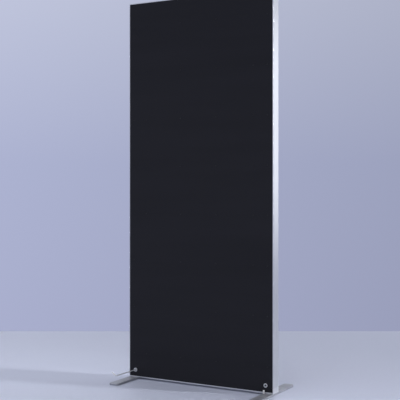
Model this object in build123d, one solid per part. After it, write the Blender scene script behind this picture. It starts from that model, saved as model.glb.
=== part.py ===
from build123d import *
import os

# Free-standing partition wall: a two-faced board wall in an aluminium frame, on two flat bar feet.
# Millimetres. X runs along the wall, the front face looks towards -Y, +Z is up.
# The origin is on the floor, under the middle of the wall.

# ---- overall sizes ----
wall_width = 1000.0            # over the two outer side faces
frame_height = 2350.0          # from the underside of the bottom rail to the top
frame_depth = 70.0             # front face to rear face

# ---- extruded frame ----
profile_wall = 2.5             # wall thickness of stiles and rails
edge_chamfer = 0.8             # on the outer long edges of every profile
stile_width = 65.0
side_lip = 5.0                 # stile edge that shows beside a board
rail_height = 32.0
rail_lip = 6.5                 # rail edge that shows above or below a board
seam_row = 4                   # the seam between lower and upper stile comes next above this screw row
seam_rise = 93.0               # from that row up to the seam
seam_gap = 1.0                 # open joint between lower and upper stile
slip = 0.2                     # clearance of a piece pushed into a profile, each side

# ---- boards and their screws ----
board_thickness = 6.0
board_gap = 0.4                # shadow gap between a board and the lips
screw_rows = 8
inner_screw_columns = 4
edge_screw_inset = 32.5        # from a board's side edge to its outer screw column
board_screw_head_radius = 4.0
board_screw_head_height = 2.2
board_screw_radius = 2.0
board_screw_length = 12.0      # under the head
board_screw_key = 2.5          # across flats of the socket
hole_play = 0.2                # radial play of a screw in a plain hole

# ---- crossbars ----
crossbar_height = 30.0
crossbar_wall = 2.0
crossbar_end_gap = 0.5
cleat_length = 20.0
cleat_screw_radius = 3.0
cleat_screw_length = 19.0
cleat_head_radius = 5.0
cleat_head_height = 6.0
cleat_screw_key = 5.0          # across flats of the socket
cleat_socket_depth = 3.0

# ---- stile splices and corner blocks ----
splice_length = 160.0
splice_wall = 5.0
sunk_screw_radius = 2.5
sunk_head_radius = 5.0
sunk_screw_length = 10.0
sunk_screw_key = 3.0           # across flats of the socket
sunk_socket_depth = 2.0
sunk_screw_spread = 36.0       # between the two screws of a row, along X
splice_screw_height = 40.0     # from the seam to a row of splice screws
tenon_height = 80.0            # corner block above the rail, inside the stile
tenon_screw_height = 60.0      # tenon screw row above the rail
rail_leg_length = 78.0         # corner block along the rail, beyond the stile
rail_leg_screw_pitch = 40.0
rail_leg_screw_inset = 18.0    # from the leg's free end to its first screw
block_screw_length = 12.0

# ---- rail end caps ----
cap_thickness = 5.0
cap_plug_length = 10.0
cap_plug_wall = 3.0

# ---- feet ----
foot_length = 520.0
foot_width = 65.0
foot_thickness = 12.0
foot_corner_radius = 16.0
foot_edge_round = 3.5
post_width = 36.0
post_depth = 30.0
post_height = 72.0
post_inset = 40.0              # from the wall's side face to the middle of the post
post_play = 0.3                # between the post and its socket, each side
post_screw_radius = 4.0
post_screw_head_radius = 8.0
post_screw_spread = 16.0
post_screw_length = 32.0
post_screw_key = 5.0           # across flats of the socket
post_socket_depth = 4.0

# ---- clamp screw and key bush, one at each bottom corner ----
clamp_inset = 49.0             # from the wall's side face to the screw's axis
clamp_height = 46.0            # above the frame's underside
running_fit = 0.05             # radial clearance of a turning shaft
free_gap = 0.3                 # radial gap between parts that pass each other
clamp_screw_radius = 4.0
clamp_screw_length = 34.0
clamp_head_radius = 6.5
clamp_head_height = 8.0
clamp_socket_depth = 4.5
washer_thickness = 1.5
bush_flange_radius = 12.0
bush_flange_height = 5.5
bush_body_radius = 9.0
bush_floor = 4.0
bush_depth = 15.0              # behind the board's face
bush_edge_round = 1.0

# ---- levelling screw in each foot ----
level_inset = 56.0             # from the wall's side face to the screw's axis
level_offset = 12.0            # in front of the wall's face
level_screw_radius = 6.0
level_rise = 20.0              # above the top of the foot
level_socket_depth = 6.0
level_tip_chamfer = 1.0
pad_radius = 9.0
pad_thickness = 3.0
pad_recess = 0.5               # above the underside of the foot
pad_headroom = 0.5             # above the pad in its recess
spigot_radius = 3.0
spigot_length = 2.0

# ---- loose hexagon key, which fits the clamp screws and the levelling screws ----
key_flats = 6.0
key_play = 0.05                # per flat, in a socket
key_reach = 214.0              # from the board's face to the short arm
key_short_arm = 36.0
key_bend_radius = 9.0
key_arm_angle = 32.0           # of the short arm above the horizontal
key_tip_gap = 0.2

# ---- places worked out from the sizes ----
half_width = wall_width / 2
half_depth = frame_depth / 2
frame_bottom = foot_thickness
frame_top = frame_bottom + frame_height
frame_middle = (frame_bottom + frame_top) / 2
rail_top = frame_bottom + rail_height
stile_top = frame_top - rail_height
rebate_face = half_depth - board_thickness
chamber_half_depth = rebate_face - profile_wall
stile_inner = half_width - stile_width
stile_middle = half_width - stile_width / 2
board_width = wall_width - 2 * (side_lip + board_gap)
board_height = frame_height - 2 * (rail_lip + board_gap)
board_bottom = frame_bottom + rail_lip + board_gap
rail_length = wall_width - 2 * cap_thickness
row_pitch = board_height / screw_rows
column_pitch = board_width / inner_screw_columns
row_levels = [board_bottom + (row + 0.5) * row_pitch for row in range(screw_rows)]
seam_level = row_levels[seam_row - 1] + seam_rise
inner_columns = [(column + 0.5) * column_pitch - board_width / 2 for column in range(inner_screw_columns)]
edge_column = board_width / 2 - edge_screw_inset
screw_columns = [-edge_column] + inner_columns + [edge_column]
block_outer = half_width - cap_thickness - cap_plug_length - slip
block_half_depth = chamber_half_depth - slip
post_middle = half_width - post_inset
clamp_x = half_width - clamp_inset
clamp_z = frame_bottom + clamp_height
bush_back = -half_depth + bush_depth
washer_back = bush_back - bush_floor
head_back = washer_back - washer_thickness
head_front = head_back - clamp_head_height
bush_bore_radius = clamp_head_radius + free_gap
foot_middle = half_width - foot_width / 2
level_x = half_width - level_inset
level_y = -half_depth - level_offset
pad_top = pad_recess + pad_thickness


def box(x, y, z):
    """A box from three (low, high) pairs."""
    size = [high - low for low, high in (x, y, z)]
    centre = [(high + low) / 2 for low, high in (x, y, z)]
    return Pos(*centre) * Box(*size)


def rod(start, end, radius, axis):
    """A cylinder along one axis, from the start point to a coordinate on that axis."""
    turn = {"X": Rot(0, 90, 0), "Y": Rot(-90, 0, 0), "Z": Rot(0, 0, 0)}[axis]
    length = end - start["XYZ".index(axis)]
    middle = list(start)
    middle["XYZ".index(axis)] += length / 2
    return Pos(*middle) * turn * Cylinder(radius, abs(length))


def cone(start, radius_start, radius_end, length, turn):
    """A cone that starts at a point and runs along the turned Z axis."""
    return Pos(*start) * turn * Pos(0, 0, length / 2) * Cone(radius_start, radius_end, length)


def hexagon_bar(start, flats, length, turn):
    """A hexagonal bar that starts at a point and runs along the turned Z axis."""
    section = RegularPolygon(radius=flats / 2, side_count=6, major_radius=False)
    return Pos(*start) * turn * extrude(section, amount=length)


def face_from(points):
    return make_face(Polyline(*points, close=True))


def mirrored(shape):
    """The left-hand copy of a right-hand piece."""
    return mirror(shape, about=Plane.YZ)


def upside_down(shape):
    """The copy for the top of the frame of a piece at its bottom."""
    return Pos(0, 0, 2 * frame_middle) * mirror(shape, about=Plane.XY)


def both_faces(shapes):
    return shapes + [mirror(shape, about=Plane.XZ) for shape in shapes]


BACKWARD = Rot(-90, 0, 0)      # turns +Z towards +Y


def stile_section():
    lip_face = half_width - side_lip
    outline = face_from([
        (stile_inner, -rebate_face), (lip_face, -rebate_face), (lip_face, -half_depth),
        (half_width - edge_chamfer, -half_depth), (half_width, -half_depth + edge_chamfer),
        (half_width, half_depth - edge_chamfer), (half_width - edge_chamfer, half_depth),
        (lip_face, half_depth), (lip_face, rebate_face), (stile_inner, rebate_face),
    ])
    chamber = Pos(stile_middle, 0) * Rectangle(stile_width - 2 * profile_wall, 2 * chamber_half_depth)
    return outline - chamber


def sunk_screw(x, z, length):
    """A countersunk screw in the front rebate face, without its socket."""
    head = cone((x, -rebate_face, z), sunk_head_radius, sunk_screw_radius, profile_wall, BACKWARD)
    shank = rod((x, -rebate_face, z), -rebate_face + length, sunk_screw_radius, "Y")
    return head + shank


def sunk_screws(places, length, socketed):
    """Countersunk screws in both rebate faces; without sockets they cut their own holes."""
    screws = [sunk_screw(x, z, length) for x, z in places]
    if socketed:
        socket = hexagon_bar((0, -rebate_face, 0), sunk_screw_key, sunk_socket_depth, BACKWARD)
        screws = [screw - Pos(x, 0, z) * socket for screw, (x, z) in zip(screws, places)]
    return both_faces(screws)


def splice_screw_places():
    return [
        (stile_middle + side * sunk_screw_spread / 2, seam_level + step * splice_screw_height)
        for side in (-1, 1) for step in (-1, 1)
    ]


def tenon_screw_places():
    level = rail_top + tenon_screw_height
    return [(stile_middle + side * sunk_screw_spread / 2, level) for side in (-1, 1)]


def rail_leg_screw_places():
    level = (frame_bottom + rail_lip + rail_top) / 2
    first = stile_inner - rail_leg_length + rail_leg_screw_inset
    return [(first + step * rail_leg_screw_pitch, level) for step in (0, 1)]


def right_splice_screws(socketed=False):
    return sunk_screws(splice_screw_places(), sunk_screw_length, socketed)


def bottom_right_block_screws(socketed=False):
    return sunk_screws(tenon_screw_places() + rail_leg_screw_places(), block_screw_length, socketed)


def board_screw_holes(depth):
    radius = board_screw_radius + hole_play
    return [
        rod((x, -half_depth, z), -half_depth + depth, radius, "Y")
        for x in screw_columns for z in row_levels
    ]


def stile_cuts():
    """Every hole in the right-hand stile."""
    cuts = right_splice_screws()
    lower_block = bottom_right_block_screws()
    cuts += lower_block + [upside_down(screw) for screw in lower_block]
    edge_radius = board_screw_radius + hole_play
    edge_holes = [
        rod((edge_column, -rebate_face, z), -chamber_half_depth, edge_radius, "Y") for z in row_levels
    ]
    cuts += both_faces(edge_holes)
    cuts += [
        rod((stile_inner, 0, z), stile_inner + profile_wall, cleat_screw_radius, "X") for z in row_levels
    ]
    cuts.append(rod((clamp_x, -rebate_face, clamp_z), -chamber_half_depth, bush_body_radius + hole_play, "Y"))
    return cuts


def right_stile(low, high):
    bar = extrude(Pos(0, 0, low) * stile_section(), amount=high - low)
    return bar - [cut for cut in stile_cuts() if low < cut.bounding_box().center().Z < high]


def right_splice():
    half_x = stile_width / 2 - profile_wall - slip
    half_z = splice_length / 2
    body = Pos(stile_middle, 0, seam_level) * Box(2 * half_x, 2 * block_half_depth, 2 * half_z)
    hollow = Pos(stile_middle, 0, seam_level) * Box(
        2 * (half_x - splice_wall), 2 * (block_half_depth - splice_wall), 2 * half_z
    )
    return body - hollow - right_splice_screws()


def rail_section():
    lip_top = frame_bottom + rail_lip
    outline = face_from([
        (-half_depth + edge_chamfer, frame_bottom), (half_depth - edge_chamfer, frame_bottom),
        (half_depth, frame_bottom + edge_chamfer), (half_depth, lip_top), (rebate_face, lip_top),
        (rebate_face, rail_top), (-rebate_face, rail_top), (-rebate_face, lip_top),
        (-half_depth, lip_top), (-half_depth, frame_bottom + edge_chamfer),
    ])
    chamber = Pos(0, frame_bottom + rail_height / 2) * Rectangle(
        2 * chamber_half_depth, rail_height - 2 * profile_wall
    )
    return outline - chamber


def bottom_rail_blank():
    """The rail with what both rails have: the corner block openings and their screw holes."""
    blank = extrude(Plane.YZ.offset(-rail_length / 2) * rail_section(), amount=rail_length)
    block_opening = box(
        (stile_inner + profile_wall, block_outer + slip),
        (-block_half_depth - slip, block_half_depth + slip),
        (rail_top - profile_wall, rail_top),
    )
    cuts = [block_opening] + sunk_screws(rail_leg_screw_places(), block_screw_length, socketed=False)
    return blank - cuts - [mirrored(cut) for cut in cuts]


def post_opening(play, low, high):
    return box(
        (post_middle - post_width / 2 - play, post_middle + post_width / 2 + play),
        (-post_depth / 2 - play, post_depth / 2 + play),
        (low, high),
    )


def bottom_rail():
    opening = post_opening(post_play, frame_bottom, frame_bottom + profile_wall)
    return bottom_rail_blank() - opening - mirrored(opening)


def bottom_right_corner_block_blank():
    depth = (-block_half_depth, block_half_depth)
    leg = box(
        (stile_inner - rail_leg_length, block_outer), depth,
        (frame_bottom + profile_wall + slip, rail_top - profile_wall - slip),
    )
    neck = box((stile_inner + profile_wall + slip, block_outer), depth,
               (rail_top - profile_wall - slip, rail_top))
    tenon = box((stile_inner + profile_wall + slip, half_width - profile_wall - slip), depth,
                (rail_top, rail_top + tenon_height))
    return leg + neck + tenon - bottom_right_block_screws()


def bottom_right_corner_block():
    """The bottom block has the foot post's socket and the clamp screw's bore as well."""
    socket = post_opening(post_play, frame_bottom, frame_bottom + post_height + 1)
    bush_seat = rod((clamp_x, -block_half_depth, clamp_z), bush_back, bush_body_radius + hole_play, "Y")
    screw_way = rod((clamp_x, bush_back, clamp_z), 0, clamp_screw_radius + free_gap, "Y")
    return bottom_right_corner_block_blank() - socket - bush_seat - screw_way


def bottom_right_end_cap():
    outline = face_from([
        (-half_depth + edge_chamfer, frame_bottom), (half_depth - edge_chamfer, frame_bottom),
        (half_depth, frame_bottom + edge_chamfer), (half_depth, rail_top),
        (-half_depth, rail_top), (-half_depth, frame_bottom + edge_chamfer),
    ])
    plate = extrude(Plane.YZ.offset(half_width - cap_thickness) * outline, amount=cap_thickness)
    plug_half_depth = chamber_half_depth - slip
    plug_low = frame_bottom + profile_wall + slip
    plug_high = rail_top - profile_wall - slip
    plug = box(
        (half_width - cap_thickness - cap_plug_length, half_width - cap_thickness),
        (-plug_half_depth, plug_half_depth), (plug_low, plug_high),
    )
    hollow = box(
        (half_width - cap_thickness - cap_plug_length, half_width - cap_thickness),
        (-plug_half_depth + cap_plug_wall, plug_half_depth - cap_plug_wall),
        (plug_low + cap_plug_wall, plug_high - cap_plug_wall),
    )
    return plate + (plug - hollow)


def crossbar(level):
    half_length = stile_inner - crossbar_end_gap
    tube = Pos(0, 0, level) * Box(2 * half_length, 2 * rebate_face, crossbar_height)
    inside_depth = 2 * (rebate_face - crossbar_wall)
    inside = Pos(0, 0, level) * Box(2 * half_length, inside_depth, crossbar_height - 2 * crossbar_wall)
    radius = board_screw_radius + hole_play
    holes = [rod((x, -rebate_face, level), rebate_face, radius, "Y") for x in inner_columns]
    return tube - inside - holes


def cleat_screw(level, socketed=False):
    """A socket screw through the cleat into the right-hand stile."""
    start = (stile_inner - cleat_length, 0, level)
    head_end = stile_inner - cleat_length + cleat_head_height
    head = rod(start, head_end, cleat_head_radius, "X")
    shank = rod((head_end, 0, level), head_end + cleat_screw_length, cleat_screw_radius, "X")
    if not socketed:
        return head + shank
    return head + shank - hexagon_bar(start, cleat_screw_key, cleat_socket_depth, Rot(0, 90, 0))


def cleat(level):
    half_depth_inside = rebate_face - crossbar_wall - slip
    half_height = crossbar_height / 2 - crossbar_wall - slip
    body = box(
        (stile_inner - cleat_length, stile_inner),
        (-half_depth_inside, half_depth_inside), (level - half_height, level + half_height),
    )
    return body - cleat_screw(level)


def board(bush_holes):
    panel = Pos(0, -half_depth + board_thickness / 2, board_bottom + board_height / 2) * Box(
        board_width, board_thickness, board_height
    )
    cuts = board_screw_holes(board_thickness)
    if bush_holes:
        hole_radius = bush_body_radius + hole_play
        hole = rod((clamp_x, -half_depth, clamp_z), -rebate_face, hole_radius, "Y")
        cuts += [hole, mirrored(hole)]
    return panel - cuts


def board_screw():
    """A low round-headed socket screw, its head's underside at the origin, running along +Y."""
    head = BACKWARD * Pos(0, 0, -board_screw_head_height / 2) * Cylinder(
        board_screw_head_radius, board_screw_head_height
    )
    crown = head.edges().filter_by(GeomType.CIRCLE).sort_by(Axis.Y)[0]
    head = fillet(crown, board_screw_head_height * 0.6)
    shank = rod((0, 0, 0), board_screw_length, board_screw_radius, "Y")
    recess_depth = board_screw_head_height / 2
    recess = hexagon_bar((0, -board_screw_head_height, 0), board_screw_key, recess_depth, BACKWARD)
    return head + shank - recess


def front_board_screws():
    screw = board_screw()
    return [Pos(x, -half_depth, z) * screw for x in screw_columns for z in row_levels]


def right_key_bush():
    """A flanged sleeve that guides the key and carries the clamp screw's head on its floor."""
    at = (clamp_x, -half_depth, clamp_z)
    flange = rod(at, -half_depth - bush_flange_height, bush_flange_radius, "Y")
    rim = flange.edges().filter_by(GeomType.CIRCLE).sort_by(Axis.Y)[0]
    flange = fillet(rim, bush_edge_round)
    sleeve = rod(at, bush_back, bush_body_radius, "Y")
    mouth = (clamp_x, -half_depth - bush_flange_height, clamp_z)
    bore = rod(mouth, washer_back, bush_bore_radius, "Y")
    screw_way = rod(mouth, bush_back, clamp_screw_radius + free_gap, "Y")
    return flange + sleeve - bore - screw_way


def right_clamp_washer():
    at = (clamp_x, head_back, clamp_z)
    disc = rod(at, washer_back, clamp_head_radius, "Y")
    return disc - rod(at, washer_back, clamp_screw_radius + running_fit, "Y")


def right_clamp_screw():
    at = (clamp_x, head_front, clamp_z)
    head = rod(at, head_back, clamp_head_radius, "Y")
    shank = rod((clamp_x, head_back, clamp_z), head_back + clamp_screw_length, clamp_screw_radius, "Y")
    turn = Rot(0, -key_arm_angle, 0) * BACKWARD
    return head + shank - hexagon_bar(at, key_flats + 2 * key_play, clamp_socket_depth, turn)


def hex_key():
    """The loose key, plugged into the left clamp screw."""
    tip = head_front + clamp_socket_depth - key_tip_gap
    elbow = -half_depth - key_reach
    path = FilletPolyline((0, tip, 0), (0, elbow, 0), (key_short_arm, elbow, 0), radius=key_bend_radius)
    section = Plane(origin=path @ 0, z_dir=path % 0, x_dir=(1, 0, 0)) * RegularPolygon(
        radius=key_flats / 2, side_count=6, major_radius=False
    )
    bar = sweep(section, path=path)
    return Pos(-clamp_x, 0, clamp_z) * Rot(0, key_arm_angle + 180, 0) * bar


def foot_screw_places():
    return [(post_middle, step * post_screw_spread / 2) for step in (-1, 1)]


def post_screw(x, y, socketed=False):
    """A countersunk screw from under the foot up into the post."""
    sink = post_screw_head_radius - post_screw_radius
    head = cone((x, y, 0), post_screw_head_radius, post_screw_radius, sink, Rot(0, 0, 0))
    screw = head + rod((x, y, 0), post_screw_length, post_screw_radius, "Z")
    if not socketed:
        return screw
    return screw - hexagon_bar((x, y, 0), post_screw_key, post_socket_depth, Rot(0, 0, 0))


def right_foot_post():
    block = post_opening(0, foot_thickness, foot_thickness + post_height)
    thread_radius = clamp_screw_radius + running_fit
    thread = rod((clamp_x, -post_depth / 2, clamp_z), post_depth / 2, thread_radius, "Y")
    return block - thread - [post_screw(x, y) for x, y in foot_screw_places()]


def right_foot_bar():
    outline = Pos(foot_middle, 0) * RectangleRounded(foot_width, foot_length, foot_corner_radius)
    bar = extrude(outline, amount=foot_thickness)
    bar = fillet(bar.faces().sort_by(Axis.Z)[-1].edges(), foot_edge_round)
    at = (level_x, level_y, 0)
    level_hole = rod(at, foot_thickness, level_screw_radius + running_fit, "Z")
    pad_seat = rod(at, pad_top + pad_headroom, pad_radius + free_gap, "Z")
    return bar - level_hole - pad_seat - [post_screw(x, y) for x, y in foot_screw_places()]


def right_level_pad():
    """The nylon foot of the levelling screw, which slides without turning."""
    disc = rod((level_x, level_y, pad_recess), pad_top, pad_radius, "Z")
    socket = rod((level_x, level_y, pad_top - spigot_length), pad_top, spigot_radius + running_fit, "Z")
    return disc - socket


def right_level_screw():
    top = foot_thickness + level_rise
    shank = rod((level_x, level_y, pad_top), top, level_screw_radius, "Z")
    ends = shank.edges().filter_by(GeomType.CIRCLE)
    shank = chamfer(ends, level_tip_chamfer)
    spigot = rod((level_x, level_y, pad_top - spigot_length), pad_top, spigot_radius, "Z")
    socket_start = (level_x, level_y, top - level_socket_depth)
    socket = hexagon_bar(socket_start, key_flats + 2 * key_play, level_socket_depth, Rot(0, 0, 0))
    return shank + spigot - socket


def turned_half_round(shape):
    """The left foot is the right foot turned half round about the wall's middle."""
    return Rot(0, 0, 180) * shape


def frame_nodes():
    nodes = {"bottom_rail": bottom_rail(), "top_rail": upside_down(bottom_rail_blank())}
    lower_end = seam_level - seam_gap / 2
    upper_end = seam_level + seam_gap / 2
    for name, low, high in (("lower", rail_top, lower_end), ("upper", upper_end, stile_top)):
        stile = right_stile(low, high)
        nodes[f"right_stile_{name}"] = stile
        nodes[f"left_stile_{name}"] = mirrored(stile)
    nodes["right_stile_splice"] = right_splice()
    nodes["left_stile_splice"] = mirrored(nodes["right_stile_splice"])
    splice_screws = right_splice_screws(socketed=True)
    nodes["splice_screws"] = splice_screws + [mirrored(screw) for screw in splice_screws]
    bottom_block = bottom_right_corner_block()
    top_block = upside_down(bottom_right_corner_block_blank())
    cap = bottom_right_end_cap()
    for name, shape in (("bottom_{}_corner_block", bottom_block), ("top_{}_corner_block", top_block),
                        ("bottom_{}_end_cap", cap), ("top_{}_end_cap", upside_down(cap))):
        nodes[name.format("right")] = shape
        nodes[name.format("left")] = mirrored(shape)
    right_screws = bottom_right_block_screws(socketed=True)
    right_screws += [upside_down(screw) for screw in right_screws]
    nodes["corner_block_screws"] = right_screws + [mirrored(screw) for screw in right_screws]
    for number, level in enumerate(row_levels, start=1):
        nodes[f"crossbar_{number}"] = crossbar(level)
    right_cleats = [cleat(level) for level in row_levels]
    nodes["crossbar_cleats"] = right_cleats + [mirrored(piece) for piece in right_cleats]
    cleat_screws = [cleat_screw(level, socketed=True) for level in row_levels]
    nodes["cleat_screws"] = cleat_screws + [mirrored(screw) for screw in cleat_screws]
    return nodes


def board_nodes():
    screws = front_board_screws()
    return {
        "front_board": board(bush_holes=True),
        "rear_board": mirror(board(bush_holes=False), about=Plane.XZ),
        "front_board_screws": screws,
        "rear_board_screws": [mirror(screw, about=Plane.XZ) for screw in screws],
    }


def foot_nodes():
    nodes = {}
    for name, shape in (("foot_bar", right_foot_bar()), ("foot_post", right_foot_post()),
                        ("level_pad", right_level_pad()), ("level_screw", right_level_screw())):
        nodes[f"right_{name}"] = shape
        nodes[f"left_{name}"] = turned_half_round(shape)
    screws = [post_screw(x, y, socketed=True) for x, y in foot_screw_places()]
    nodes["foot_post_screws"] = screws + [turned_half_round(screw) for screw in screws]
    for name, shape in (("key_bush", right_key_bush()), ("clamp_washer", right_clamp_washer()),
                        ("clamp_screw", right_clamp_screw())):
        nodes[f"right_{name}"] = shape
        nodes[f"left_{name}"] = mirrored(shape)
    nodes["hex_key"] = hex_key()
    return nodes


def export(name, shape):
    solids = shape if isinstance(shape, list) else [shape]
    bodies = [solid for piece in solids for solid in piece.solids()]
    export_step(Compound(bodies) if len(bodies) > 1 else bodies[0], f"parts/{name}.step")


os.makedirs("parts", exist_ok=True)
for node_name, node_shape in {**frame_nodes(), **board_nodes(), **foot_nodes()}.items():
    export(node_name, node_shape)
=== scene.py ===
import math

import bmesh
import bpy
from mathutils import Matrix, Vector


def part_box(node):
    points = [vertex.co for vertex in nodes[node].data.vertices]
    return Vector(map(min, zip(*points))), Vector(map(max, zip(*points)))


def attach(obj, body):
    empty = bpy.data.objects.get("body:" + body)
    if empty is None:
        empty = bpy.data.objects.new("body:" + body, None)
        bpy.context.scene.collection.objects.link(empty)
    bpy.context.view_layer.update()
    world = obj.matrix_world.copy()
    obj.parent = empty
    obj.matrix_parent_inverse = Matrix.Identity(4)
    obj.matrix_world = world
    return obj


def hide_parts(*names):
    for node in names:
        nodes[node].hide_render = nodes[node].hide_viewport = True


# Looks for the partition wall: black boards in a satin aluminium frame on two flat steel feet.
# Metres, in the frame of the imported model: front face towards -Y, +Z up, origin on the floor.

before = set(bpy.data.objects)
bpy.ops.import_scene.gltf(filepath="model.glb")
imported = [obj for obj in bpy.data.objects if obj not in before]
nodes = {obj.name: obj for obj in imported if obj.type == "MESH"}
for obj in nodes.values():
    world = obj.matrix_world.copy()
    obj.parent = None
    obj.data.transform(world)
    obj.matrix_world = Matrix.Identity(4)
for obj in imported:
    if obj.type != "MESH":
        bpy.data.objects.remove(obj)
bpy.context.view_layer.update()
scene = bpy.context.scene


# ---------------------------------------------------------------- places, read from the frame

def middle(low, high):
    return (low + high) / 2


def centre_of(node):
    low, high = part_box(node)
    return (low + high) / 2


# ---------------------------------------------------------------- small mesh helpers

def link(mesh, name):
    """A new object at the origin for a finished mesh."""
    piece = bpy.data.objects.new(name, mesh)
    scene.collection.objects.link(piece)
    return piece


def mesh_from(bm, name):
    """Merges doubles, turns the faces outwards and hands over a plain mesh."""
    bmesh.ops.remove_doubles(bm, verts=bm.verts, dist=2e-6)
    bmesh.ops.recalc_face_normals(bm, faces=bm.faces)
    mesh = bpy.data.meshes.new(name)
    bm.to_mesh(mesh)
    bm.free()
    return mesh


def baked(piece):
    """The piece with its modifiers applied as one plain mesh."""
    bpy.context.view_layer.update()
    evaluated = piece.evaluated_get(bpy.context.evaluated_depsgraph_get())
    mesh = bpy.data.meshes.new_from_object(evaluated)
    mesh.name = piece.name
    piece.modifiers.clear()
    piece.data = mesh
    return piece


def smooth(piece, sharp_angle=35.0):
    """Smooth shading, creased at sharp edges, with each flat face kept flat beside its rounded edges."""
    mesh = piece.data
    for face in mesh.polygons:
        face.use_smooth = True
    mesh.set_sharp_from_angle(angle=math.radians(sharp_angle))
    settle = piece.modifiers.new("flat_faces", "WEIGHTED_NORMAL")
    settle.keep_sharp = True
    return baked(piece)


def finish_piece(piece, body, material, replaced):
    """Rides the piece on its body in place of the CAD nodes."""
    if material is not None:
        piece.data.materials.clear()
        piece.data.materials.append(material)
    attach(piece, body)
    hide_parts(*replaced)
    return piece


LONG_EDGE = 0.012


def eased_copy(node, arris, segments=2):
    """A copy of a flat-sided CAD piece with its long edges rounded by the arris."""
    bm = bmesh.new()
    bm.from_mesh(nodes[node].data)
    bmesh.ops.remove_doubles(bm, verts=bm.verts, dist=1e-6)
    bmesh.ops.dissolve_limit(bm, angle_limit=math.radians(0.5), verts=bm.verts, edges=bm.edges)
    weights = bm.edges.layers.float.new("bevel_weight_edge")
    for edge in bm.edges:
        turns = edge.is_manifold and abs(edge.calc_face_angle(0.0)) > math.radians(20)
        edge[weights] = 1.0 if turns and edge.calc_length() > LONG_EDGE else 0.0
    mesh = bpy.data.meshes.new(node + "_eased")
    bm.to_mesh(mesh)
    bm.free()
    piece = link(mesh, node + "_eased")
    if not arris:
        return smooth(piece)
    rounding = piece.modifiers.new("arris", "BEVEL")
    rounding.limit_method = "WEIGHT"
    rounding.width = arris
    rounding.segments = segments
    rounding.use_clamp_overlap = False
    return smooth(baked(piece))


def circle(radius, height, count):
    """Points round a circle about +Z."""
    turns = [2 * math.pi * step / count for step in range(count)]
    return [Vector((radius * math.cos(turn), radius * math.sin(turn), height)) for turn in turns]


def hexagon(flats, height, count):
    """As many points as a circle has, round a hexagon with a corner on +X."""
    points = []
    for step in range(count):
        turn = 2 * math.pi * step / count
        radius = flats / 2 / math.cos(turn % (math.pi / 3) - math.pi / 6)
        points.append(Vector((radius * math.cos(turn), radius * math.sin(turn), height)))
    return points


def fan(bm, ring, heart):
    """Closes a ring of vertices towards a middle point."""
    tip = bm.verts.new(heart)
    for step, vert in enumerate(ring):
        bm.faces.new((vert, ring[(step + 1) % len(ring)], tip))


def join_rings(bm, rings, closed=False):
    """Faces from each ring of points to the next, and from the last to the first if closed."""
    made = [[bm.verts.new(point) for point in ring] for ring in rings]
    pairs = list(zip(made, made[1:])) + ([(made[-1], made[0])] if closed else [])
    for low, high in pairs:
        for step, vert in enumerate(low):
            following = (step + 1) % len(low)
            bm.faces.new((vert, low[following], high[following], high[step]))
    return made


def quarter_round(radius, height, rounding, steps):
    """(radius, height) pairs round an outer rim, from its side to its top."""
    turns = [math.pi / 2 * step / steps for step in range(steps + 1)]
    inner, lower = radius - rounding, height - rounding
    return [(inner + rounding * math.cos(turn), lower + rounding * math.sin(turn)) for turn in turns]


def thread(bm, length, radius, pitch, depth, end_radius, count):
    """A screw thread about +Z from height 0, run out to end_radius at both ends."""
    crest_and_root = ((0.0, 0.0), (0.125, 0.0), (0.5, depth), (0.625, depth))
    turns = math.ceil(length / pitch) + 2
    rows = [(turn + phase, cut) for turn in range(turns) for phase, cut in crest_and_root]
    columns = []
    for step in range(count):
        angle = 2 * math.pi * step / count
        column = []
        for phase, cut in rows:
            height = min(max(pitch * (phase + step / count - 1), 0.0), length)
            reach = min(radius - cut, end_radius + min(height, length - height))
            column.append(bm.verts.new((reach * math.cos(angle), reach * math.sin(angle), height)))
        columns.append(column)
    shift = len(crest_and_root)
    for step, column in enumerate(columns):
        lift = shift if step == count - 1 else 0
        beside = columns[(step + 1) % count]
        for row in range(len(rows) - 1 - lift):
            bm.faces.new((column[row], beside[row + lift], beside[row + lift + 1], column[row + 1]))


def stand(bm, place, direction, turn=0.0):
    """Turns +Z towards the direction, with the first ring point turned about it, and moves to the place."""
    aim = Vector(direction).to_track_quat("Z", "X").to_matrix().to_4x4()
    turned = aim @ Matrix.Rotation(turn, 4, "Z")
    bmesh.ops.transform(bm, verts=bm.verts, matrix=Matrix.Translation(place) @ turned)


# ---------------------------------------------------------------- node tree helpers

class Nodes:
    """Adds nodes to a tree one by one, each linked to what feeds it."""

    def __init__(self, tree):
        self.tree = tree

    def set(self, node, **values):
        for socket, value in values.items():
            node.inputs[socket].default_value = value

    def add(self, kind, settings=None, links=None, **values):
        node = self.tree.nodes.new(kind)
        for key, value in (settings or {}).items():
            setattr(node, key, value)
        self.set(node, **values)
        for socket, source in (links or {}).items():
            self.tree.links.new(source, node.inputs[socket])
        return node


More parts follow.
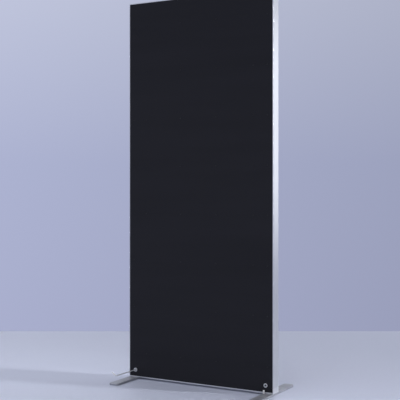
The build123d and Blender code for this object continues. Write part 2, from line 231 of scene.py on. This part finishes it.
class Rule(Nodes):
    """A Geometry Nodes tree with named inputs, which ends in Realize Instances and Set Material."""

    def __init__(self, name, **inputs):
        super().__init__(bpy.data.node_groups.new(name, "GeometryNodeTree"))
        self.socket("Geometry", "INPUT", "Geometry")
        for label, kind in inputs.items():
            self.socket(label, "INPUT", kind)
        self.socket("Material", "INPUT", "Material")
        self.socket("Geometry", "OUTPUT", "Geometry")
        self.given = self.tree.nodes.new("NodeGroupInput").outputs

    def socket(self, label, side, kind):
        self.tree.interface.new_socket(label, in_out=side, socket_type="NodeSocket" + kind)

    def vector(self, **parts):
        return self.add("ShaderNodeCombineXYZ", links=parts).outputs["Vector"]

    def end(self, geometry):
        whole = self.add("GeometryNodeRealizeInstances", links={"Geometry": geometry}).outputs["Geometry"]
        links = {"Geometry": whole, "Material": self.given["Material"]}
        painted = self.add("GeometryNodeSetMaterial", links=links).outputs["Geometry"]
        self.tree.links.new(painted, self.tree.nodes.new("NodeGroupOutput").inputs["Geometry"])

    def run(self, piece, **values):
        """Replaces the piece's mesh with what the rule makes of it."""
        modifier = piece.modifiers.new(self.tree.name, "NODES")
        modifier.node_group = self.tree
        for item in self.tree.interface.items_tree:
            if item.item_type == "SOCKET" and item.in_out == "INPUT" and item.name in values:
                modifier[item.identifier] = values[item.name]
        return baked(piece)


# ---------------------------------------------------------------- material helpers

class Shader(Nodes):
    """A material built round one Principled surface."""

    def __init__(self, name, base, metallic=0.0, roughness=0.5, **constants):
        self.material = bpy.data.materials.new(name)
        self.material.use_nodes = True
        super().__init__(self.material.node_tree)
        self.surface = self.tree.nodes["Principled BSDF"]
        self.set(self.surface, **{"Base Color": (*base, 1.0), "Metallic": metallic, "Roughness": roughness})
        self.set(self.surface, **constants)
        self.base = base
        self.place = self.add("ShaderNodeTexCoord").outputs["Object"]

    def mapped(self, scale=(1, 1, 1), location=(0, 0, 0), source=None):
        mapping = self.add("ShaderNodeMapping", links={"Vector": source or self.place})
        mapping.inputs["Scale"].default_value = scale
        mapping.inputs["Location"].default_value = location
        return mapping.outputs["Vector"]

    def noise(self, vector, scale, detail=3.0, rough=0.55):
        values = {"Scale": scale, "Detail": detail, "Roughness": rough}
        return self.add("ShaderNodeTexNoise", links={"Vector": vector}, **values).outputs["Fac"]

    def spread(self, source, low, high, out_low=0.0, out_high=1.0):
        values = {"From Min": low, "From Max": high, "To Min": out_low, "To Max": out_high}
        return self.add("ShaderNodeMapRange", links={"Value": source}, **values).outputs["Result"]

    def maths(self, operation, first, second=None):
        node = self.add("ShaderNodeMath", {"operation": operation})
        for socket, source in zip(node.inputs, (first, second)):
            if isinstance(source, (int, float)):
                socket.default_value = source
            elif source is not None:
                self.tree.links.new(source, socket)
        return node.outputs[0]

    def blend_colours(self, factor, first, second):
        """Mixes two colours, each a triple or another node's output."""
        node = self.add("ShaderNodeMix", {"data_type": "RGBA"}, links={0: factor})
        for socket, source in ((node.inputs[6], first), (node.inputs[7], second)):
            if isinstance(source, tuple):
                socket.default_value = (*source, 1.0)
            else:
                self.tree.links.new(source, socket)
        return node.outputs[2]

    def colour(self, source):
        self.tree.links.new(source, self.surface.inputs["Base Color"])

    def tint(self, source, low, high, darker, lighter):
        """Blends from a darker to a lighter base colour as the source goes from low to high."""
        amount = self.spread(source, low, high)
        self.colour(self.blend_colours(amount, scaled(self.base, darker), scaled(self.base, lighter)))

    def roughness(self, source):
        self.tree.links.new(source, self.surface.inputs["Roughness"])

    def bump(self, height, depth, strength=1.0, below=None):
        """Adds relief of a real depth in metres."""
        links = {"Height": height}
        if below is not None:
            links["Normal"] = below
        node = self.add("ShaderNodeBump", links=links, Strength=strength, Distance=depth)
        self.tree.links.new(node.outputs["Normal"], self.surface.inputs["Normal"])
        return node.outputs["Normal"]


def along(axis, fine, coarse):
    """Noise scales that are coarse along the named axis and fine across it."""
    return tuple(coarse if name == axis else fine for name in "XYZ")


def scaled(colour, factor):
    return tuple(part * factor for part in colour)


# ---------------------------------------------------------------- materials of the wall

def drawn_metal(name, base, axis, roughness, spread, streak=1400.0, relief=4e-6, tone=0.06):
    """Satin metal with fine draw lines along one axis."""
    shader = Shader(name, base, metallic=1.0, roughness=roughness)
    lines = shader.noise(shader.mapped(along(axis, streak, 2.5)), 1.0, detail=2.0)
    bands = shader.noise(shader.mapped(along(axis, 120.0, 0.2)), 1.0, detail=3.0)
    clouds = shader.noise(shader.place, 3.0, detail=4.0)
    mixed = shader.maths("ADD", shader.maths("MULTIPLY", lines, 0.6), shader.maths("MULTIPLY", bands, 0.4))
    shader.roughness(shader.spread(mixed, 0.3, 0.7, roughness - spread, roughness + spread))
    tint = shader.maths("ADD", shader.maths("MULTIPLY", clouds, 0.5), shader.maths("MULTIPLY", mixed, 0.5))
    dark, light = scaled(base, 1 - tone), scaled(base, 1 + tone)
    shader.colour(shader.blend_colours(shader.spread(tint, 0.35, 0.65), dark, light))
    shader.bump(lines, relief)
    return shader.material


def anodised(axis):
    """Satin anodised extrusion, with die lines along its length."""
    return drawn_metal("anodised_along_" + axis.lower(), (0.67, 0.68, 0.685), axis, 0.37, 0.01)


def mill_finish(axis):
    """Untreated aluminium tube, brighter and more streaked than the anodised profiles."""
    return drawn_metal("mill_finish_along_" + axis.lower(), (0.77, 0.78, 0.79), axis, 0.33, 0.08, relief=8e-6)


def flat_bar_steel():
    """Satin ground steel bar: grain along the bar, a few stray scratches and soft handling marks."""
    base = (0.36, 0.37, 0.40)
    shader = Shader("ground_steel_bar", base, metallic=0.75, roughness=0.5)
    grain = shader.noise(shader.mapped(along("Y", 1700.0, 9.0)), 1.0, detail=3.0)
    marks = shader.noise(shader.place, 14.0, detail=5.0, rough=0.62)
    scratches = shader.noise(shader.mapped((220.0, 30.0, 220.0)), 1.0, detail=1.0)
    scratch = shader.spread(scratches, 0.71, 0.74)
    ground = shader.spread(grain, 0.3, 0.7, 0.46, 0.56)
    handled = shader.spread(marks, 0.4, 0.7, 0.0, 0.08)
    shader.roughness(shader.maths("ADD", ground, handled))
    worn = shader.blend_colours(shader.spread(marks, 0.42, 0.68), scaled(base, 1.05), scaled(base, 0.86))
    streaked = shader.blend_colours(shader.spread(grain, 0.35, 0.65, 0.0, 0.35), worn, scaled(base, 0.8))
    shader.colour(shader.blend_colours(shader.maths("MULTIPLY", scratch, 0.5), streaked, scaled(base, 1.35)))
    first = shader.bump(grain, 9e-6)
    shader.bump(scratch, -1.5e-5, below=first)
    return shader.material


def blasted_cap():
    """Bead-blasted aluminium, lighter than the profiles."""
    base = (0.80, 0.81, 0.82)
    shader = Shader("blasted_aluminium", base, metallic=1.0, roughness=0.46)
    grit = shader.noise(shader.place, 2600.0, detail=2.0)
    clouds = shader.noise(shader.place, 30.0, detail=3.0)
    shader.roughness(shader.spread(grit, 0.3, 0.7, 0.42, 0.50))
    shader.colour(shader.blend_colours(shader.spread(clouds, 0.35, 0.65), scaled(base, 0.96), base))
    shader.bump(grit, 1.2e-5)
    return shader.material


def cast_block():
    """Die-cast aluminium of the blocks inside the frame."""
    base = (0.62, 0.62, 0.64)
    shader = Shader("cast_aluminium", base, metallic=1.0, roughness=0.52)
    skin = shader.noise(shader.place, 420.0, detail=4.0)
    flow = shader.noise(shader.mapped((30.0, 30.0, 9.0)), 1.0, detail=3.0)
    shader.roughness(shader.spread(skin, 0.3, 0.7, 0.44, 0.60))
    shader.tint(flow, 0.35, 0.65, 0.9, 1.06)
    shader.bump(skin, 3e-5)
    return shader.material


def board_finish():
    """Matt black lacquer over fibreboard: a fine orange-peel, faint roller bands and rubbed edges."""
    base = (0.0125, 0.0125, 0.0155)
    low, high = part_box("front_board")
    shader = Shader("matt_black_lacquer", base, roughness=0.6, **{"Specular IOR Level": 0.16})
    peel = shader.noise(shader.place, 900.0, detail=2.0, rough=0.5)
    fibre = shader.noise(shader.mapped((160.0, 160.0, 70.0)), 1.0, detail=4.0)
    roller = shader.noise(shader.mapped((0.7, 1.0, 9.0)), 1.0, detail=3.0)
    shader.roughness(shader.spread(fibre, 0.3, 0.7, 0.54, 0.66))
    banded = shader.blend_colours(shader.spread(roller, 0.35, 0.65), scaled(base, 0.92), scaled(base, 1.10))
    speckled = shader.blend_colours(shader.spread(fibre, 0.45, 0.75, 0.0, 0.5), banded, scaled(base, 1.25))
    axes = shader.add("ShaderNodeSeparateXYZ", links={"Vector": shader.place})
    side = shader.maths("SUBTRACT", high.x, shader.maths("ABSOLUTE", axes.outputs["X"]))
    from_middle = shader.maths("SUBTRACT", axes.outputs["Z"], middle(low.z, high.z))
    end = shader.maths("SUBTRACT", (high.z - low.z) / 2, shader.maths("ABSOLUTE", from_middle))
    near_edge = shader.spread(shader.maths("MINIMUM", side, end), 0.0002, 0.0022, 1.0, 0.0)
    chafe = shader.spread(shader.noise(shader.place, 45.0, detail=4.0), 0.42, 0.62)
    worn = shader.maths("MULTIPLY", near_edge, shader.spread(chafe, 0.0, 1.0, 0.25, 1.0))
    shader.colour(shader.blend_colours(shader.maths("MULTIPLY", worn, 0.5), speckled, (0.055, 0.052, 0.055)))
    first = shader.bump(peel, 1.8e-5)
    shader.bump(fibre, 2.5e-5, below=first)
    return shader.material


def blackened_screw():
    """Black oxide on steel, rubbed a little by the driver."""
    base = (0.018, 0.018, 0.021)
    shader = Shader("black_oxide", base, metallic=0.6, roughness=0.42)
    bloom = shader.noise(shader.place, 700.0, detail=3.0)
    shader.roughness(shader.spread(bloom, 0.3, 0.7, 0.36, 0.5))
    shader.colour(shader.blend_colours(shader.spread(bloom, 0.5, 0.72, 0.0, 0.7), base, (0.05, 0.047, 0.045)))
    shader.bump(bloom, 6e-6)
    return shader.material


def zinc_plate():
    """Zinc-plated steel of the hidden screws and washers."""
    base = (0.58, 0.60, 0.62)
    shader = Shader("zinc_plate", base, metallic=1.0, roughness=0.34)
    spangle = shader.add("ShaderNodeTexVoronoi", links={"Vector": shader.place}, Scale=900.0).outputs["Color"]
    tone = shader.add("ShaderNodeRGBToBW", links={"Color": spangle}).outputs["Val"]
    shader.roughness(shader.spread(tone, 0.2, 0.8, 0.28, 0.40))
    shader.tint(tone, 0.2, 0.8, 0.9, 1.1)
    shader.bump(shader.noise(shader.place, 1500.0), 4e-6)
    return shader.material


def turned_nickel():
    """Nickel-plated steel with the faint rings of turning round each bush."""
    base = (0.80, 0.80, 0.79)
    axis = centre_of("right_key_bush")
    shader = Shader("turned_nickel", base, metallic=1.0, roughness=0.27)
    axes = shader.add("ShaderNodeSeparateXYZ", links={"Vector": shader.place})
    off_x = shader.maths("SUBTRACT", shader.maths("ABSOLUTE", axes.outputs["X"]), axis.x)
    off_z = shader.maths("SUBTRACT", axes.outputs["Z"], axis.z)
    flat = shader.add("ShaderNodeCombineXYZ", links={"X": off_x, "Z": off_z}).outputs["Vector"]
    reach = shader.add("ShaderNodeVectorMath", {"operation": "LENGTH"}, links={0: flat}).outputs["Value"]
    rings = shader.maths("SINE", shader.maths("MULTIPLY", reach, 2 * math.pi / 0.00035))
    haze = shader.noise(shader.place, 160.0, detail=4.0)
    shader.roughness(shader.spread(haze, 0.3, 0.7, 0.22, 0.36))
    shader.tint(haze, 0.35, 0.65, 0.92, 1.06)
    shader.bump(rings, 4e-6)
    return shader.material


def screw_nickel():
    """Nickel-plated threads: bright crests with a duller haze over them."""
    base = (0.93, 0.92, 0.90)
    shader = Shader("plated_thread", base, metallic=0.7, roughness=0.34)
    haze = shader.noise(shader.place, 380.0, detail=4.0)
    shader.roughness(shader.spread(haze, 0.3, 0.7, 0.28, 0.42))
    shader.tint(haze, 0.4, 0.66, 0.9, 1.05)
    shader.bump(haze, 5e-6)
    return shader.material


def key_steel():
    """Nickel-plated tool steel of the key, drawn along its long arm, with rubbed marks scattered over it."""
    base = (0.86, 0.86, 0.85)
    shader = Shader("key_steel", base, metallic=0.65, roughness=0.34)
    lines = shader.noise(shader.mapped(along("Y", 1500.0, 25.0)), 1.0, detail=2.0)
    marks = shader.noise(shader.place, 90.0, detail=5.0)
    shader.roughness(shader.spread(lines, 0.3, 0.7, 0.38, 0.48))
    shader.tint(marks, 0.4, 0.68, 0.88, 1.08)
    shader.bump(lines, 5e-6)
    return shader.material


def nylon():
    """Natural nylon of the levelling pads."""
    base = (0.62, 0.60, 0.54)
    shader = Shader("natural_nylon", base, roughness=0.45, **{"Subsurface Weight": 0.15})
    clouds = shader.noise(shader.place, 120.0, detail=3.0)
    shader.roughness(shader.spread(clouds, 0.3, 0.7, 0.4, 0.55))
    shader.colour(shader.blend_colours(shader.spread(clouds, 0.35, 0.65), scaled(base, 0.93), base))
    shader.bump(clouds, 1.5e-5)
    return shader.material


MATERIALS = {
    "length": anodised("Z"),
    "width": anodised("X"),
    "tube": mill_finish("X"),
    "splice": mill_finish("Z"),
    "foot": flat_bar_steel(),
    "cap": blasted_cap(),
    "cast": cast_block(),
    "board": board_finish(),
    "black": blackened_screw(),
    "zinc": zinc_plate(),
    "bush": turned_nickel(),
    "thread": screw_nickel(),
    "key": key_steel(),
    "nylon": nylon(),
}


# ---------------------------------------------------------------- floor, light and camera

EYE = Vector((2.678, -4.718, 1.2146))
EYE_TURN = math.radians(29.64)
LENS = 80.4
LOOKING = Vector((-math.sin(EYE_TURN), math.cos(EYE_TURN), 0.0))
SIDEWAYS = Vector((math.cos(EYE_TURN), math.sin(EYE_TURN), 0.0))


def studio_camera():
    data = bpy.data.cameras.new("studio_camera")
    data.sensor_width = 36.0
    data.lens = LENS
    data.shift_y = -0.0359
    data.dof.use_dof = False
    data.clip_end = 60.0
    camera = bpy.data.objects.new("studio_camera", data)
    camera.location = EYE
    camera.rotation_euler = (math.radians(90), 0.0, EYE_TURN)
    scene.collection.objects.link(camera)
    scene.camera = camera


def studio_floor():
    """A pale floor with its back edge square to the view."""
    behind, before, half_width = 2.03, 7.0, 6.0
    corners = [
        LOOKING * behind - SIDEWAYS * half_width, LOOKING * behind + SIDEWAYS * half_width,
        -LOOKING * before + SIDEWAYS * half_width, -LOOKING * before - SIDEWAYS * half_width,
    ]
    bm = bmesh.new()
    bm.faces.new([bm.verts.new(corner) for corner in corners])
    bmesh.ops.recalc_face_normals(bm, faces=bm.faces)
    mesh = bpy.data.meshes.new("studio_floor")
    bm.to_mesh(mesh)
    bm.free()
    if mesh.polygons[0].normal.z < 0:
        mesh.flip_normals()
    floor = link(mesh, "studio_floor")
    shader = Shader("pale_floor", (0.475, 0.502, 0.594), roughness=0.5, **{"Specular IOR Level": 0.25})
    grain = shader.noise(shader.place, 60.0, detail=3.0)
    shader.roughness(shader.spread(grain, 0.3, 0.7, 0.42, 0.52))
    floor.data.materials.append(shader.material)


def soft_light(name, place, target, size, power, colour):
    data = bpy.data.lights.new(name, "AREA")
    data.shape = "RECTANGLE"
    data.size, data.size_y = size
    data.energy = power
    data.color = colour
    light = bpy.data.objects.new(name, data)
    light.location = place
    light.rotation_euler = (Vector(place) - Vector(target)).to_track_quat("Z", "Y").to_euler()
    scene.collection.objects.link(light)
    return light


def room_light():
    """A lavender-grey room: lighter towards the ceiling and towards the left of the view."""
    world = bpy.data.worlds.new("room")
    scene.world = world
    world.use_nodes = True
    tree = world.node_tree
    link_to = tree.links.new
    back = tree.nodes["Background"]
    direction = tree.nodes.new("ShaderNodeTexCoord").outputs["Generated"]
    axes = tree.nodes.new("ShaderNodeSeparateXYZ")
    link_to(direction, axes.inputs[0])
    heights = tree.nodes.new("ShaderNodeValToRGB")
    lift = tree.nodes.new("ShaderNodeMapRange")
    lift.inputs["From Min"].default_value = -0.25
    lift.inputs["From Max"].default_value = 1.0
    link_to(axes.outputs["Z"], lift.inputs["Value"])
    link_to(lift.outputs["Result"], heights.inputs["Fac"])
    stops = heights.color_ramp
    shades = [(0.0, (0.352, 0.376, 0.545)), (0.22, (0.375, 0.405, 0.575)), (0.36, (0.47, 0.50, 0.645)),
              (0.55, (0.70, 0.72, 0.82)), (1.0, (0.95, 0.96, 1.02))]
    stops.elements[0].position, stops.elements[1].position = 0.0, 1.0
    for place, _ in shades[1:-1]:
        stops.elements.new(place)
    for stop, (_, shade) in zip(stops.elements, shades):
        stop.color = (*shade, 1.0)
    across = tree.nodes.new("ShaderNodeVectorMath")
    across.operation = "DOT_PRODUCT"
    link_to(direction, across.inputs[0])
    across.inputs[1].default_value = SIDEWAYS
    sides = tree.nodes.new("ShaderNodeMapRange")
    for socket, value in (("From Min", -0.25), ("From Max", 0.25), ("To Min", 1.12), ("To Max", 0.88)):
        sides.inputs[socket].default_value = value
    link_to(across.outputs["Value"], sides.inputs["Value"])
    link_to(heights.outputs["Color"], back.inputs["Color"])
    link_to(sides.outputs["Result"], back.inputs["Strength"])


def studio_lights():
    aim = (-3.6, -1.2, 0.0)
    key = soft_light("tall_side_light", (11.8, 3.2, 4.4), aim, (0.7, 2.2), 20.0, (0.97, 0.98, 1.0))
    key.data.spread = math.radians(20)
    near = -1.7 * LOOKING - 1.9 * SIDEWAYS
    above = near + Vector((0, 0, 2.2))
    fill = soft_light("near_floor_fill", above, near, (3.4, 1.2), 14.0, (0.98, 0.98, 1.0))
    strip = soft_light("side_strip", (2.9, 4.6, 1.95), (0.5, 0.0, 1.6), (1.2, 2.4), 15.0, (0.98, 0.99, 1.0))
    for light in (fill, strip):
        light.visible_camera = False


scene.view_settings.view_transform = "Standard"
scene.view_settings.look = "None"
studio_camera()
studio_floor()
room_light()
studio_lights()


# ---------------------------------------------------------------- boards and frame

def dress_boards():
    for node in ("front_board", "rear_board"):
        piece = eased_copy(node, 0.0005)
        finish_piece(piece, "wall", MATERIALS["board"], [node])


def dress_frame():
    for side in ("left", "right"):
        for part in ("lower", "upper"):
            node = f"{side}_stile_{part}"
            finish_piece(eased_copy(node, 0.0003), "wall", MATERIALS["length"], [node])
        for level in ("bottom", "top"):
            node = f"{level}_{side}_end_cap"
            finish_piece(eased_copy(node, 0.0004), "wall", MATERIALS["cap"], [node])
    for node in ("bottom_rail", "top_rail"):
        finish_piece(eased_copy(node, 0.0003), "wall", MATERIALS["width"], [node])


# ---------------------------------------------------------------- screws, bushes and key

MM = 0.001
OUT = Vector((0, -1, 0))
UP = Vector((0, 0, 1))
KEY_FLATS = 6.0 * MM
SOCKET_FLATS = 6.1 * MM


def socket_rings(flats, rim, top, depth, count):
    """A hexagonal socket below the middle of a flat top: its chamfered mouth and its walls."""
    mouth = [circle(rim, top, count), hexagon(flats, top - 0.3 * MM, count)]
    return mouth + [hexagon(flats, top - depth, count)]


def board_screw(count=18):
    """One low round-headed socket screw, its head's underside at the origin and its head towards +Z."""
    head, height, shank, length = 4.0 * MM, 2.2 * MM, 2.0 * MM, 12.0 * MM
    outline = [(0.6 * shank, -length), (shank, 0.8 * MM - length), (shank, 0.0), (head - 0.15 * MM, 0.0)]
    outline += [(head, 0.15 * MM)] + quarter_round(head, height, 1.3 * MM, 4)
    bm = bmesh.new()
    rings = [circle(radius, level, count) for radius, level in outline]
    rings += socket_rings(2.5 * MM, 1.7 * MM, height, 1.1 * MM, count)
    made = join_rings(bm, rings)
    fan(bm, made[0], (0, 0, -length))
    fan(bm, made[-1], (0, 0, height - 1.5 * MM))
    return bm


def screw_field_rule():
    """A grid of screws for one board: inner columns, and one column beside each edge."""
    sizes = ("Inner Width", "Edge Width", "Height", "Face", "Middle")
    rule = Rule("screw_field", **{size: "Float" for size in sizes}, Rows="Int", Seed="Int")
    given = rule.given
    join = rule.add("GeometryNodeJoinGeometry")
    for width, columns in (("Inner Width", 4), ("Edge Width", 2)):
        links = {"Size X": given[width], "Size Y": given["Height"], "Vertices Y": given["Rows"]}
        grid = rule.add("GeometryNodeMeshGrid", links=links, **{"Vertices X": columns})
        rule.tree.links.new(grid.outputs["Mesh"], join.inputs["Geometry"])
    place = rule.vector(Y=given["Face"], Z=given["Middle"])
    links = {"Geometry": join.outputs["Geometry"], "Translation": place}
    upright = rule.add("GeometryNodeTransform", links=links, Rotation=(math.radians(90), 0, 0))
    chance = rule.add("FunctionNodeRandomValue", {"data_type": "FLOAT"}, links={"Seed": given["Seed"]})
    chance.inputs[3].default_value = math.radians(60)
    links = {"Points": upright.outputs["Geometry"], "Instance": given["Geometry"],
             "Rotation": rule.vector(Y=chance.outputs[1])}
    rule.end(rule.add("GeometryNodeInstanceOnPoints", links=links).outputs["Instances"])
    return rule


def dress_board_screws():
    rule = screw_field_rule()
    for face, outward, seed in (("front", OUT, 3), ("rear", -OUT, 8)):
        node = face + "_board_screws"
        low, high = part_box(node)
        board_low, board_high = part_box(face + "_board")
        head = 4.0 * MM
        bm = board_screw()
        stand(bm, (0, 0, 0), outward)
        screws = link(mesh_from(bm, node), node + "_domed")
        surface = board_low.y if face == "front" else board_high.y
        rule.run(screws, **{
            "Inner Width": (board_high.x - board_low.x) * 3 / 4, "Edge Width": high.x - low.x - 2 * head,
            "Height": high.z - low.z - 2 * head, "Face": surface, "Middle": middle(low.z, high.z),
            "Rows": 8, "Seed": seed, "Material": MATERIALS["black"]})
        smooth(screws)
        finish_piece(screws, "wall", None, [node])


def key_bush(side):
    """Lathe-turned flanged sleeve with a chamfered mouth and a floor for the clamp screw's washer."""
    node = side + "_key_bush"
    low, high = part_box(node)
    board_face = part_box("front_board")[0].y
    flange, rise, depth = (high.x - low.x) / 2, board_face - low.y, high.y - board_face
    sleeve, bore, floor, way = 9.0 * MM, 6.8 * MM, 4.0 * MM, 4.3 * MM
    lip = 0.5 * MM
    outline = [(bore, rise - lip), (bore + 0.15 * MM, rise - 0.15 * MM), (bore + lip, rise)]
    outline += reversed(quarter_round(flange, rise, 1.1 * MM, 5))
    outline += [(flange, 0.2 * MM), (flange - 0.2 * MM, 0.0), (sleeve, 0.0), (sleeve, lip - depth)]
    outline += [(sleeve - lip, -depth), (way, -depth), (way, floor - depth), (bore, floor - depth)]
    bm = bmesh.new()
    join_rings(bm, [circle(radius, level, 72) for radius, level in outline], closed=True)
    stand(bm, (middle(low.x, high.x), board_face, middle(low.z, high.z)), OUT)
    piece = link(mesh_from(bm, node), node + "_turned")
    smooth(piece)
    finish_piece(piece, "wall", MATERIALS["bush"], [node])


KEY_ARM_ANGLE = math.radians(32)
KEY_TILT = math.pi - KEY_ARM_ANGLE


def clamp_screw(side):
    """M8 socket screw: threaded shank, plain neck, rounded head with a hexagon socket."""
    node = side + "_clamp_screw"
    low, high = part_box(node)
    head, head_height, shank = (high.x - low.x) / 2, 8.0 * MM, 4.0 * MM
    length = high.y - low.y
    neck, under = length - head_height - 5.0 * MM, length - head_height
    root = shank - 0.80 * MM
    bm = bmesh.new()
    count = 36
    thread(bm, neck, shank, 1.25 * MM, 0.77 * MM, root, count)
    tip = join_rings(bm, [circle(root, 0.0, count)])
    fan(bm, tip[0], (0, 0, 0))
    outline = [(root, neck), (shank, neck + 0.8 * MM), (shank, under), (head - 0.2 * MM, under)]
    outline += [(head, under + 0.2 * MM)] + quarter_round(head, length, 0.8 * MM, 4)
    rings = [circle(radius, level, count) for radius, level in outline]
    made = join_rings(bm, rings + socket_rings(SOCKET_FLATS, 3.8 * MM, length, 4.5 * MM, count))
    fan(bm, made[-1], (0, 0, length - 5.6 * MM))
    stand(bm, (middle(low.x, high.x), high.y, middle(low.z, high.z)), OUT, math.pi / 2 - KEY_ARM_ANGLE)
    piece = link(mesh_from(bm, node), node + "_threaded")
    smooth(piece)
    finish_piece(piece, node, MATERIALS["black"], [node])


def level_screw(side):
    """M12 levelling screw: a thread from the pad to the top, a spigot below and a hexagon socket above."""
    node = side + "_level_screw"
    low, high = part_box(node)
    pad_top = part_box(side + "_level_pad")[1].z
    radius, spigot, root = (high.x - low.x) / 2, 3.0 * MM, 4.85 * MM
    length = high.z - pad_top
    count = 48
    bm = bmesh.new()
    thread(bm, length, radius, 1.75 * MM, 1.07 * MM, root, count)
    lowest = low.z - pad_top
    outline = [(root, 0.0), (spigot, 0.0), (spigot, lowest)]
    foot = join_rings(bm, [circle(reach, level, count) for reach, level in outline])
    fan(bm, foot[-1], (0, 0, lowest))
    socket = socket_rings(SOCKET_FLATS, 3.8 * MM, length, 6.0 * MM, count)
    made = join_rings(bm, [circle(root, length, count)] + socket)
    fan(bm, made[-1], (0, 0, length - 7.0 * MM))
    stand(bm, (middle(low.x, high.x), middle(low.y, high.y), pad_top), UP)
    piece = link(mesh_from(bm, node), node + "_threaded")
    smooth(piece)
    finish_piece(piece, node, MATERIALS["thread"], [node])


def bent_bar_rule():
    """A hexagonal bar along a line of corners, each corner bent to a radius."""
    rule = Rule("bent_hexagon_bar", Corner="Float", Bend="Float", Easing="Float", Tilt="Float")
    given = rule.given
    line = rule.add("GeometryNodeMeshToCurve", links={"Mesh": given["Geometry"]}).outputs["Curve"]
    links = {"Curve": line, "Radius": given["Bend"]}
    bend = rule.add("GeometryNodeFilletCurve", {"mode": "POLY"}, links=links, Count=14)
    links = {"Curve": bend.outputs["Curve"], "Tilt": given["Tilt"]}
    tilted = rule.add("GeometryNodeSetCurveTilt", links=links)
    outline = rule.add("GeometryNodeCurvePrimitiveCircle", links={"Radius": given["Corner"]}, Resolution=6)
    links = {"Curve": outline.outputs["Curve"], "Radius": given["Easing"]}
    eased = rule.add("GeometryNodeFilletCurve", {"mode": "POLY"}, links=links, Count=2)
    links = {"Curve": tilted.outputs["Curve"], "Profile Curve": eased.outputs["Curve"]}
    rule.end(rule.add("GeometryNodeCurveToMesh", links=links, **{"Fill Caps": True}).outputs["Mesh"])
    return rule


def chamfer_tips(piece, chamfer):
    """Chamfers the flat ends of a bar."""
    bm = bmesh.new()
    bm.from_mesh(piece.data)
    for tip in [face for face in bm.faces if len(face.verts) > 6]:
        outwards = tip.normal.copy()
        bmesh.ops.inset_region(bm, faces=[tip], thickness=chamfer, use_even_offset=True)
        kept = set(tip.verts)
        rim = {edge.other_vert(vert) for vert in kept for edge in vert.link_edges} - kept
        for vert in rim:
            vert.co -= outwards * chamfer
    bm.to_mesh(piece.data)
    bm.free()


def hex_key():
    """The loose L-shaped key: a hexagonal bar bent once, with chamfered tips."""
    low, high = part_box("hex_key")
    screw = centre_of("left_clamp_screw")
    arm = Vector((-math.cos(KEY_ARM_ANGLE), 0, math.sin(KEY_ARM_ANGLE)))
    corner = KEY_FLATS / 2 / math.cos(math.pi / 6)
    elbow = Vector((screw.x, low.y + corner, screw.z))
    path = [Vector((screw.x, high.y, screw.z)), elbow, elbow + arm * 36.0 * MM]
    mesh = bpy.data.meshes.new("key_line")
    mesh.from_pydata(path, [(0, 1), (1, 2)], [])
    piece = link(mesh, "hex_key_bent")
    bent_bar_rule().run(piece, Corner=corner, Bend=9.0 * MM, Easing=0.35 * MM, Tilt=KEY_TILT,
                        Material=MATERIALS["key"])
    chamfer_tips(piece, 0.4 * MM)
    smooth(piece)
    finish_piece(piece, "hex_key", None, ["hex_key"])


def dress_feet():
    for side in ("left", "right"):
        node = side + "_foot_bar"
        piece = eased_copy(node, 0.0)
        finish_piece(piece, "wall", MATERIALS["foot"], [node])


def dress_hidden_parts():
    """The pieces inside the wall keep their CAD shape and get their own finish."""
    finishes = {"crossbar": "tube", "cleats": "cast", "stile_splice": "splice", "corner_block": "cast",
                "foot_post": "cast", "screws": "zinc", "washer": "zinc", "pad": "nylon"}
    for name, piece in nodes.items():
        if piece.hide_render:
            continue
        for word, finish in finishes.items():
            if word in name and not (word in ("corner_block", "foot_post", "crossbar") and "screws" in name):
                piece.data.materials.clear()
                piece.data.materials.append(MATERIALS[finish])


dress_boards()
dress_frame()
dress_feet()
dress_board_screws()
for side in ("left", "right"):
    key_bush(side)
    clamp_screw(side)
    level_screw(side)
hex_key()
dress_hidden_parts()
